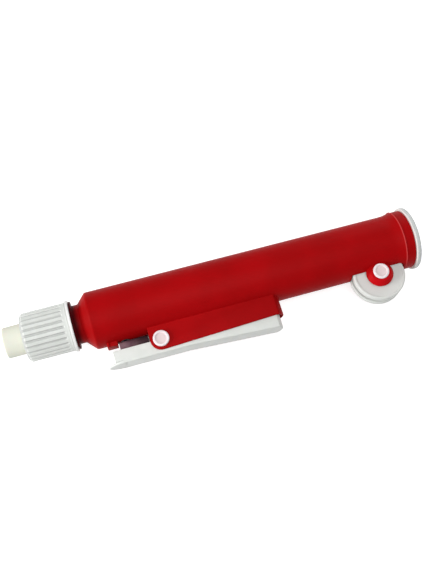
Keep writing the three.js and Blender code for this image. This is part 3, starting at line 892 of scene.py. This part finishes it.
    def build(self) -> None:
        """Mould the housing and publish it."""
        seat = rod(SEAT.foot, -BARREL_BORE - 1, SEAT.radius, Axis.Y, (SEAT.x, 0.0), 0.25)
        shell = combined(
            self.blank(), Join.ADD, self.thread(), self.ear(1), self.ear(-1), self.bracket(), self.stop(), seat
        )
        half, corner = self.window_half, self.window_corner
        window = [
            (self.window_front, -half, 0.5), (self.window_rear, -half, corner),
            (self.window_rear, half, corner), (self.window_front, half, 0.5),
        ]
        reach = self.ear_outer + 1
        shell = combined(
            shell,
            Join.CUT,
            self.bore(),
            prism(rounded(window, True, 8), Axis.Y, -31, -3),
            rod(-reach, reach, WHEEL_PIVOT.pin + GAP, Axis.Z, WHEEL_PIVOT.at),
            rod(-reach, reach, LEVER_PIVOT.pin + GAP, Axis.Z, LEVER_PIVOT.at),
            rod(-BARREL_RADIUS - 1, 0.0, self.vent_radius, Axis.Y, (self.vent_x, 0.0)),
        )
        # Painted shade: the collar and the neck behind the nut are darkened, near black at the collar and fading
        # towards the cone, where the nut's rim shades them.
        painted_neck_shade = self.shop.stretch(self.collar_front - 1.0, self.collar_rear + 0.2, 3.4, (0.035, 0.001, 0.002), 0.93)
        # Painted highlight: a thin band of lighter red on the bead at the flare's end.
        painted_bead_highlight = self.shop.stretch(self.flare_end + 0.1, self.flare_end + 0.45, 0.15, (0.62, 0.09, 0.09), 0.5)
        # Painted highlight: the ear's cone and the tube just below the wheel pin are painted a brighter red.
        below = (WHEEL_PIVOT.x, WHEEL_PIVOT.y - 4.7)
        painted_ear_highlight = self.shop.ring(Axis.Z, below, self.ear_base, self.ear_base + 1.2, (0.57, 0.004, 0.008), 0.85)
        self.shop.publish("housing_moulding", shell, Body.HOUSING, Slot.RED, ["barrel_housing"], (painted_neck_shade, painted_ear_highlight, painted_bead_highlight))


@dataclass
class ChuckNut:
    """The ribbed nut that clamps the nozzle. Sizes in mm."""

    shop: Workshop
    front: float = -35.0
    rear: float = -9.38
    radius: float = 12.8
    chamfer: float = 1.5
    band_start: float = -13.0
    step_radius: float = 12.95
    rim_radius: float = 13.62
    rim_length: float = 1.6
    mouth: float = 8.4
    front_inner: float = -31.5
    room: float = 9.65
    room_rear: float = -26.8
    bore: float = 9.95
    ribs: int = 26
    turn: float = 0.57  # of a rib's spacing, from +y
    steps_per_rib: int = 16
    groove_half: float = 0.72
    groove_depth: float = 0.85
    station: float = 0.6

    def profile(self) -> list[Point2]:
        """The nut's section, with stations along the grip for its grooves."""
        straight = self.band_start - (self.front + self.chamfer + 0.5)
        count = round(straight / self.station)
        grip = [(self.band_start - straight * i / count, self.radius) for i in range(count + 1)]
        rim_front = self.rear - self.rim_length
        outside = rounded(
            [
                (self.rear, self.bore, 0.0),
                (self.rear, self.rim_radius, 0.35),
                (rim_front, self.rim_radius, 0.4),
                (rim_front, self.step_radius, 0.1),
                (rim_front - 0.5, self.step_radius, 0.1),
                (rim_front - 0.6, self.radius, 0.05),
                (self.band_start + 0.2, self.radius, 0.0),
            ],
            False,
        )
        nose = rounded(
            [
                (self.front + self.chamfer + 0.4, self.radius, 0.0),
                (self.front + self.chamfer, self.radius, 0.35),
                (self.front, self.radius - self.chamfer, 0.5),
                (self.front, self.mouth, 0.3),
                (self.front_inner, self.mouth, 0.0),
            ],
            False,
        )
        inside = [(self.front_inner, self.room), (self.room_rear, self.room), (self.room_rear, self.bore)]
        return [*outside, *grip, *nose, *inside]

    def groove(self, vert: bmesh.types.BMVert) -> float:
        """How deep the grip is cut at a point of its outside."""
        spacing = math.tau / self.ribs
        angle = math.atan2(vert.co.z, vert.co.y) - self.turn * spacing
        around = (angle + spacing / 2) % spacing - spacing / 2
        beyond = max(0.0, vert.co.x - (self.band_start - self.groove_half))
        share = math.hypot(around * self.radius, beyond) / self.groove_half
        return self.groove_depth * max(0.0, 1.0 - share**3) ** 0.6

    def build(self) -> None:
        """Turn the nut, sink its grooves, cut its thread and publish it."""
        body = lathe(self.profile(), True, steps=self.ribs * self.steps_per_rib)
        for vert in body.verts:
            reach = math.hypot(vert.co.y, vert.co.z)
            if vert.co.x < self.band_start and reach > self.room + 0.5:
                depth = min(self.groove(vert), max(0.0, reach - (self.radius - self.groove_depth)))
                vert.co.y *= 1 - depth / reach
                vert.co.z *= 1 - depth / reach
        start, end = -24.4 - THREAD_LEAD, -13.2 + 2 * THREAD_LEAD
        cutter = coil(THREAD_WIRE + RUN, NECK_ROOT, start, end, (end - start) / THREAD_LEAD)
        floor = self.radius - self.groove_depth
        # Painted shade: the floors of the grip's grooves are painted grey.
        painted_groove_shade = self.shop.ring(Axis.X, (0.0, 0.0), floor + 0.1, self.radius - 0.12, (0.44, 0.45, 0.44), 0.75)
        step = self.rear - self.rim_length
        # Painted shade: a thin grey line on the band just in front of the rim's step.
        painted_step_shade = self.shop.stretch(step - 0.2, step, 0.25, (0.42, 0.43, 0.41), 0.75)
        # Painted highlight: the rim is painted whiter than the rest of the nut.
        painted_rim_light = self.shop.stretch(step + 0.5, self.rear, 0.2, (0.93, 0.94, 0.92), 0.9)
        self.shop.publish(
            "grip_nut", combined(body, Join.CUT, cutter), Body.NUT, Slot.WHITE, ["chuck_nut"], (painted_groove_shade, painted_step_shade, painted_rim_light)
        )


@dataclass
class PipetteNozzle:
    """The soft chuck that takes the pipette. Sizes in mm."""

    shop: Workshop
    tip: float = -44.95
    radius: float = 8.05
    mouth: float = 4.4
    flange_front: float = -31.2
    flange_rear: float = -28.3
    flange_radius: float = 9.3
    spigot_radius: float = 5.6
    spigot_rear: float = -19.8
    socket: float = 3.5
    socket_end: float = -29.95
    bore: float = 2.2

    def build(self) -> None:
        """Turn the nozzle and publish it."""
        corners = [
            (self.tip, (self.mouth + self.radius) / 2, 0.0),
            (self.tip, self.radius, 0.9),
            (self.flange_front, self.radius, 0.3),
            (self.flange_front, self.flange_radius, 0.3),
            (self.flange_rear, self.flange_radius, 0.3),
            (self.flange_rear, self.spigot_radius, 0.3),
            (self.spigot_rear, self.spigot_radius, 0.4),
            (self.spigot_rear, self.bore, 0.3),
            (self.socket_end, self.bore, 0.2),
            (self.socket_end, self.socket, 0.2),
            (self.tip, self.mouth, 0.7),
            (self.tip, (self.mouth + self.radius) / 2, 0.0),
        ]
        body = lathe(rounded(corners, False, 6)[:-1], True, steps=96)
        self.shop.publish("nozzle", body, Body.CHUCK, Slot.IVORY, ["pipette_chuck"])


@dataclass
class ThumbPlate:
    """The round end plate with its spigot. Sizes in mm."""

    shop: Workshop
    radius: float = 16.97
    rear: float = 176.7
    spigot: float = 3.0
    spigot_length: float = 8.0

    def build(self) -> None:
        """Turn the plate, slightly hollow on its outer face, and publish it."""
        corners = [
            (PLATE_FRONT - self.spigot_length, 0.0, 0.0),
            (PLATE_FRONT - self.spigot_length, self.spigot, 0.4),
            (PLATE_FRONT, self.spigot, 0.4),
            (PLATE_FRONT, self.radius, 0.5),
            (self.rear, self.radius, 0.9),
            (self.rear, self.radius - 2.4, 0.6),
            (self.rear - 0.35, self.radius - 3.0, 0.6),
            (self.rear - 0.35, 0.0, 0.0),
        ]
        body = lathe(rounded(corners, False, 6), steps=128)
        # Painted light: the plate's front face is painted whiter.
        painted_front_light = self.shop.stretch(PLATE_FRONT - 0.3, PLATE_FRONT + 0.35, 0.3, (0.97, 0.98, 0.94))
        # Painted shade: the plate's outer rim is painted grey.
        painted_rim_shade = self.shop.ring(Axis.X, (0.0, 0.0), self.radius - 0.1, self.radius - 0.35, (0.56, 0.58, 0.57), 0.8)
        self.shop.publish("thumb_plate_disc", body, Body.PLUNGER, Slot.WHITE, ["thumb_plate"], (painted_front_light, painted_rim_shade))


@dataclass
class PlungerRod:
    """The rod of T section with its rack, discs and hub. Sizes in mm."""

    shop: Workshop
    front: float = 13.3
    disc_front: float = 11.3
    disc_radius: float = 11.0
    stud_radius: float = 2.5
    stud_length: float = 6.0
    web_half: float = 9.0
    web_top: float = 0.1
    web_bottom: float = -1.9
    rib_half: float = 1.2
    rib_top: float = 9.0
    rib_rear: float = 173.3
    rear: float = 173.9
    hub_front: float = 162.5
    hub_radius: float = 4.5
    hole_radius: float = 3.3
    hole_length: float = 8.3
    teeth_before: int = -23
    teeth_after: int = 2
    pitch: float = math.pi
    tooth_half: float = 0.6854
    addendum: float = 0.9
    dedendum: float = 1.2
    pitch_line: float = -10.8
    slope: float = math.tan(math.radians(25))

    def section(self) -> list[Point2]:
        """The T section in y and z, with eased corners."""
        web, rib = self.web_half, self.rib_half
        return rounded(
            [
                (self.web_bottom, -web, 0.3), (self.web_bottom, web, 0.3), (self.web_top, web, 0.3),
                (self.web_top, rib, 0.5), (self.rib_top, rib, 0.3), (self.rib_top, -rib, 0.3),
                (self.web_top, -rib, 0.5), (self.web_top, -web, 0.3),
            ],
            True,
            4,
        )

    def rack(self) -> list[Point2]:
        """Side view of the lower rib and its teeth."""
        root, tip = self.pitch_line + self.dedendum, self.pitch_line - self.addendum
        points = [(self.front - 1, root)]
        for i in range(self.teeth_before, self.teeth_after + 1):
            x = WHEEL_PIVOT.x + (i + 0.5) * self.pitch
            for side in (-1, 1):
                foot = x + side * (self.tooth_half + self.dedendum * self.slope)
                crest = x + side * (self.tooth_half - self.addendum * self.slope)
                points += [(foot, root), (crest, tip)][::-side]
        middle = (self.web_top + self.web_bottom) / 2
        return [*points, (self.rib_rear, root), (self.rib_rear, middle), (self.front - 1, middle)]

    def build(self) -> None:
        """Join the rod's parts and publish it."""
        rack = softened(prism(self.rack(), Axis.Z, -self.rib_half, self.rib_half), 0.08, 2, 25.0)
        body = combined(
            prism(self.section(), Axis.X, self.front - 1, self.rib_rear),
            Join.ADD,
            rack,
            rod(self.disc_front, self.front, self.disc_radius, Axis.X, edge=0.4, steps=96),
            rod(self.disc_front - self.stud_length, self.front, self.stud_radius, Axis.X, edge=0.4),
            rod(self.hub_front, self.rear, self.hub_radius, Axis.X, edge=0.3, steps=64),
        )
        body = combined(body, Join.CUT, rod(self.rear - self.hole_length, self.rear + 1, self.hole_radius, Axis.X))
        self.shop.publish("rack_rod", body, Body.PLUNGER, Slot.WHITE, ["plunger_rod"])


@dataclass
class Thumbwheel:
    """The two discs between which the pinion runs. Sizes in mm."""

    shop: Workshop
    radius: float = 14.0
    inner: float = 1.6
    outer: float = 4.7
    rim: float = 0.7
    dish: float = 0.3
    rim_width: float = 1.3

    def disc(self, side: int) -> bmesh.types.BMesh:
        """One disc with a rounded rim and a faintly sunk face; side is 1 or -1."""
        bore = WHEEL_PIVOT.pin + GAP
        corners = [
            (self.inner, bore, 0.0),
            (self.inner, self.radius, 0.45),
            (self.outer, self.radius, self.rim),
            (self.outer, self.radius - self.rim_width, 0.3),
            (self.outer - self.dish, self.radius - self.rim_width - self.dish, 0.3),
            (self.outer - self.dish, bore, 0.0),
        ]
        profile = [(along * side, radius) for along, radius in rounded(corners, False)]
        return lathe(profile, True, Axis.Z, WHEEL_PIVOT.at, 128)

    def build(self) -> None:
        """Turn both discs and publish them."""
        # Painted shade: each disc's face is painted a little greyer than its rim.
        painted_face_shade = self.shop.ring(
            Axis.Z, WHEEL_PIVOT.at, self.radius - self.rim_width, self.radius - 0.35 * self.rim_width, (0.72, 0.735, 0.71)
        )
        for name, side in (("near", 1), ("far", -1)):
            self.shop.publish(
                f"wheel_disc_{name}", self.disc(side), Body.WHEEL, Slot.WHITE, [f"thumbwheel_{name}_disc"], (painted_face_shade,)
            )


@dataclass
class HeadedPin:
    """A pin with a ringed head and a cap of the same shape on its far end. Sizes in mm."""

    shop: Workshop
    name: str
    pivot: Pivot
    seat: float
    head_radius: float = 4.2
    head_thickness: float = 1.1
    recess_radius: float = 3.1
    recess_depth: float = 0.5

    def head(self, side: int) -> list[Point2]:
        """Profile of a head from its seat outwards; side is 1 or -1."""
        face = self.seat + GAP
        outer = face + self.head_thickness
        corners = [
            (face, 0.0, 0.0),
            (face, self.head_radius, 0.15),
            (outer, self.head_radius, 0.5),
            (outer, self.recess_radius, 0.18),
            (outer - self.recess_depth, self.recess_radius - 0.2, 0.15),
            (outer - self.recess_depth, 0.0, 0.0),
        ]
        return [(along * side, radius) for along, radius in rounded(corners, False)]

    def build(self, stands_for: tuple[str, str]) -> None:
        """Turn the pin and its cap and publish them.

        Args:
            stands_for: the CAD nodes of the pin and of the cap.
        """
        shank = rounded([(-self.seat, 0, 0), (-self.seat, self.pivot.pin, 0.3), (self.seat + GAP, self.pivot.pin, 0)], False)
        pin = lathe([*shank, *self.head(1)[1:]], axis=Axis.Z, at=self.pivot.at, steps=72)
        cap = lathe(self.head(-1), axis=Axis.Z, at=self.pivot.at, steps=72)
        # Painted shade: the recess of each head and cap is painted a darker pink.
        painted_recess_shade = self.shop.ring(
            Axis.Z, self.pivot.at, self.recess_radius - 0.2, self.recess_radius, (0.80, 0.66, 0.66)
        )
        self.shop.publish(self.name, pin, Body.HOUSING, Slot.PIN, [stands_for[0]], (painted_recess_shade,))
        self.shop.publish(f"{self.name}_far_cap", cap, Body.HOUSING, Slot.PIN, [stands_for[1]], (painted_recess_shade,))


@dataclass
class ReleaseLever:
    """The channel lever with its pad and spring. Sizes in mm."""

    shop: Workshop
    half: float = 5.8
    cheek: float = 1.3
    web: float = 1.5
    front: float = 6.9
    bend: float = 46.0
    top: float = -20.5
    tail: float = 92.8
    tail_bow: float = 2.4
    tail_top: float = -21.6
    front_bottom: float = -27.7
    tail_bottom: float = -30.45
    hump: float = 3.4
    nose_length: float = 3.8
    nose_rear: float = 12.2
    nose_thickness: float = 1.3
    edge: float = 0.35
    pad_from: float = 10.95
    pad_to: float = 26.2
    pad_half: float = 3.2
    spring_radius: float = 2.6
    spring_wire: float = 0.35
    spring_turns: float = 7.0

    def bottom(self, x: float) -> float:
        """Height of the outer face at a station x: level as far as the bend, then sloping away."""
        share = max(0.0, (x - self.bend) / (self.tail - self.bend))
        return self.front_bottom + share * (self.tail_bottom - self.front_bottom)

    def side(self) -> list[Point2]:
        """Side view, with the hump about the pin and room for the nose below the front end."""
        rise = math.degrees(math.asin((self.top - LEVER_PIVOT.y) / self.hump))
        rear = self.tail + 2 * self.tail_bow
        return [
            (self.front, self.top),
            *arc(LEVER_PIVOT.at, self.hump, 180 - rise, rise, 20),
            (rear, self.tail_top),
            (rear, self.bottom(rear)),
            (self.bend, self.front_bottom),
            (self.nose_rear, self.front_bottom),
            (self.nose_rear, self.bottom(self.nose_rear) + self.nose_thickness),
            (self.front, self.bottom(self.front) + self.nose_thickness),
        ]

    def plan(self) -> list[Point2]:
        """Plan with a square front and a bowed tail, in x and z."""
        return [
            (self.front, -self.half),
            *bow((self.tail, -self.half), (self.tail, self.half), self.tail_bow),
            (self.front, self.half),
        ]

    def nose(self) -> bmesh.types.BMesh:
        """The pointed tongue under the front end."""
        tip, rear = self.front - self.nose_length, self.nose_rear + 0.6
        arch = [
            (tip + (rear - tip) * share, self.half * math.sqrt(share * (2 - share)) * 0.99)
            for share in (0.01, 0.03, 0.07, 0.13, 0.21, 0.31, 0.43, 0.57, 0.73, 0.88, 1.0)
        ]
        plan = [(tip, 0.0), *arch, *[(x, -z) for x, z in reversed(arch)]]
        side = [
            (tip - 1, self.bottom(tip - 1)),
            (rear, self.bottom(rear)),
            (rear, self.bottom(rear) + self.nose_thickness + 0.02),
            (self.front - 0.4, self.bottom(self.front) + self.nose_thickness + 0.02),
            (tip, self.bottom(tip) + 0.7 * self.nose_thickness),
            (tip - 1, self.bottom(tip) + 0.7 * self.nose_thickness),
        ]
        body = combined(prism(plan, Axis.Y, -40, 0), Join.COMMON, prism(side, Axis.Z, -9, 9))
        return softened(body, 0.3, 3, 40.0)

    def channel(self) -> bmesh.types.BMesh:
        """The hollow between the cheeks."""
        inner, rear, start = self.half - self.cheek, self.tail - self.cheek, self.front - 9
        floor = [
            (start, self.front_bottom + self.web + 0.4),
            (self.bend, self.front_bottom + self.web),
            (rear + 3, self.bottom(rear + 3) + self.web),
        ]
        side = prism([*floor, (rear + 3, 0.0), (start, 0.0)], Axis.Z, -inner, inner)
        plan = [(start, -inner), *bow((rear, -inner), (rear, inner), self.tail_bow), (start, inner)]
        return combined(side, Join.COMMON, prism(plan, Axis.Y, -40, 1))

    def moulding(self) -> bmesh.types.BMesh:
        """The lever itself."""
        body = prism(self.side(), Axis.Z, -2 * self.half, 2 * self.half)
        body = combined(body, Join.COMMON, prism(self.plan(), Axis.Y, -40, 0))
        softened(body, self.edge, 3, 40.0)
        foot = self.bottom(SEAT.x) + self.web - 0.5
        peg = rod(foot, foot + 0.5 + SEAT.peg_height, SEAT.peg_radius, Axis.Y, (SEAT.x, 0.0), 0.3)
        body = combined(body, Join.ADD, self.nose())
        step = [(self.nose_rear - 0.12, -40.0), (self.nose_rear + 0.12, -40.0)]
        level = self.bottom(self.nose_rear) + 0.35
        notch = prism([*step, (step[1][0], level), (step[0][0], level)], Axis.Z, 0.5, 9)
        body = combined(body, Join.CUT, self.channel(), notch)
        body = combined(body, Join.ADD, peg)
        return combined(body, Join.CUT, rod(-9, 9, LEVER_PIVOT.pin + GAP, Axis.Z, LEVER_PIVOT.at))

    def pad(self) -> bmesh.types.BMesh:
        """The soft pad with upright sides and a round crown."""
        foot = self.bottom(self.pad_from) + self.web + 0.4 + GAP
        crown = -BARREL_RADIUS - GAP
        section = [
            (foot, self.pad_half), (foot, -self.pad_half),
            *arc((crown - self.pad_half, 0.0), self.pad_half, -90, 90, 24),
        ]
        return softened(prism(section, Axis.X, self.pad_from, self.pad_to), 0.4, 3, 50.0)

    def spring(self) -> bmesh.types.BMesh:
        """The coil spring, from the lever's web to its seat under the tube."""
        low = self.bottom(SEAT.x) + self.web + GAP + self.spring_wire + 0.1
        high = SEAT.foot - GAP - self.spring_wire
        return coil(
            self.spring_wire, self.spring_radius, low, high, self.spring_turns, Axis.Y, (SEAT.x, 0.0), 12, 48
        )

    def build(self) -> None:
        """Publish the lever, its pad and its spring."""
        self.shop.publish("lever_channel", self.moulding(), Body.LEVER, Slot.WHITE, ["release_lever"])
        shade = self.shop.stretch(self.pad_to - 3.0, self.pad_to + 9.0, 9.0, (0.03, 0.012, 0.016), 0.85)
        self.shop.publish("vent_pad", self.pad(), Body.LEVER, Slot.SILICONE, ["valve_pad"], (shade,))
        spring = self.shop.publish("return_spring", self.spring(), Body.HOUSING, Slot.STEEL, ["lever_spring"])
        seat = self.shop.datum.matrix() @ Vector((SEAT.x, SEAT.foot - GAP, 0.0))
        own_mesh(spring)


def on_level(edge: bmesh.types.BMEdge, axis: Axis, level: float) -> bool:
    """Whether both ends of an edge lie at a level along an axis."""
    return all(abs(vert.co[axis.value] - level) < 0.01 for vert in edge.verts)


# ------------------------------------------------------------------------------------ studio
@dataclass
class Studio:
    """The floor, the light and the camera. Places are in barrel-frame millimetres."""

    datum: Datum
    eye: tuple[float, float, float] = (13.199, -133.013, 403.452)
    sight: tuple[float, float, float] = (0.12060674, 0.31158151, -0.94253434)
    up: tuple[float, float, float] = (0.25153677, 0.90888745, 0.33264523)
    lens: float = 50.46
    floor_size: float = 3.0
    ambient: float = 0.3
    reach: float = 0.75
    lamp_size: float = 0.35
    floor_glow: float = 0.76

    def camera(self) -> None:
        """Set up the camera."""
        data = bpy.data.cameras.new("camera")
        data.lens = self.lens
        data.sensor_width = 36.0
        data.clip_start, data.clip_end = 0.01, 20.0
        made = bpy.data.objects.new("camera", data)
        bpy.context.scene.collection.objects.link(made)
        back = -Vector(self.sight).normalized()
        right = Vector(self.up).cross(back).normalized()
        turn = Matrix((right, back.cross(right), back)).transposed()
        made.matrix_world = Matrix.Translation(self.datum.matrix() @ Vector(self.eye)) @ turn.to_4x4()
        bpy.context.scene.camera = made

    def white_share(self, graph: Graph) -> Wire:
        """1 for rays that show the backdrop: straight from the camera, mirrored or seen through glass."""
        path = {name: graph.add("ShaderNodeLightPath", {}, {}, name) for name in (
            "Is Camera Ray", "Is Glossy Ray", "Is Transmission Ray")}
        total = path["Is Camera Ray"] + path["Is Glossy Ray"] + path["Is Transmission Ray"]
        return graph.add("ShaderNodeMath", {"operation": "MINIMUM"}, {0: total, 1: 1.0})

    def floor(self) -> None:
        """Lay the pale floor, which shows white where it isn't shaded."""
        body = bmesh.new()
        bmesh.ops.create_circle(body, cap_ends=True, segments=96, radius=self.floor_size)
        made = loose_object(body, "floor")
        material = bpy.data.materials.new("floor")
        graph = Graph(material)
        graph.set(Base_Color=(0.65, 0.65, 0.65, 1.0), Roughness=0.9, Specular_IOR_Level=0.0)
        graph.set(Emission_Color=(1.0, 1.0, 1.0, 1.0), Emission_Strength=self.white_share(graph) * self.floor_glow)
        made.data.materials.append(material)

    def world(self) -> None:
        """White to the camera, and a plain soft light on the object."""
        world = bpy.data.worlds.new("studio")
        bpy.context.scene.world = world
        world.use_nodes = True
        tree = world.node_tree
        tree.nodes.clear()
        out = tree.nodes.new("ShaderNodeOutputWorld")
        back = tree.nodes.new("ShaderNodeBackground")
        tree.links.new(back.outputs[0], out.inputs["Surface"])
        graph = Graph.__new__(Graph)
        graph.tree = tree
        shown = self.white_share(graph)
        graph.put(back.inputs["Strength"], shown * (1.0 - self.ambient) + self.ambient)
        graph.put(back.inputs["Color"], (1.0, 1.0, 1.0, 1.0))

    def lamp(self, name: str, turn_deg: float, rise_deg: float, target: Vector, power: float) -> None:
        """Add a square soft lamp.

        Args:
            name: the lamp's name.
            turn_deg: the way it stands from its target, turned from +x towards +y.
            rise_deg: how far it stands above the level.
            target: what it faces, in metres.
            power: its power in watts.
        """
        turned, risen = math.radians(turn_deg), math.radians(rise_deg)
        way = Vector((math.cos(risen) * math.cos(turned), math.cos(risen) * math.sin(turned), math.sin(risen)))
        place = target + way * self.reach
        data = bpy.data.lights.new(name, "AREA")
        data.shape = "SQUARE"
        data.size = self.lamp_size
        data.energy = power
        made = bpy.data.objects.new(name, data)
        bpy.context.scene.collection.objects.link(made)
        turn = (target - place).to_track_quat("-Z", "Y").to_matrix().to_4x4()
        made.matrix_world = Matrix.Translation(place) @ turn

    def build(self) -> None:
        """Set the studio up."""
        scene = bpy.context.scene
        scene.view_settings.view_transform = "Standard"
        middle = (CAD_BOX[0] + CAD_BOX[1]) / 2
        self.world()
        self.floor()
        self.lamp("front_low", 184.0, 22.0, middle, 4.2)
        self.lamp("rear_low", 50.0, 18.0, middle, 1.15)
        self.lamp("side_high", 270.0, 68.0, middle, 1.35)
        self.lamp("top", 0.0, 90.0, middle, 1.0)
        self.camera()


def main() -> None:
    """Build the pump and its studio."""
    logging.basicConfig(level=logging.INFO, format="%(name)s: %(message)s")
    shop = Workshop(Datum.from_frame())
    BarrelHousing(shop).build()
    ChuckNut(shop).build()
    PipetteNozzle(shop).build()
    ThumbPlate(shop).build()
    PlungerRod(shop).build()
    Thumbwheel(shop).build()
    HeadedPin(shop, "wheel_pin", WHEEL_PIVOT, 8.3).build(("wheel_axle", "wheel_axle_cap"))
    HeadedPin(shop, "lever_pivot_pin", LEVER_PIVOT, 7.0).build(("lever_pin", "lever_pin_cap"))
    ReleaseLever(shop).build()
    shop.dress(
        {
            "rod_guide": Slot.WHITE,
            "piston_head": Slot.WHITE,
            "piston_seal_front": Slot.BLACK,
            "piston_seal_rear": Slot.BLACK,
            "drive_pinion": Slot.WHITE,
            # The vent seat is dressed black as a rubber seat, and its dark also stands in for the shade in the gap
            # between the stop and the pad.
            "vent_seat": Slot.BLACK,
            "chuck_gasket": Slot.BLACK,
        }
    )
    Studio(shop.datum).build()


if __name__ == "__main__":
    main()
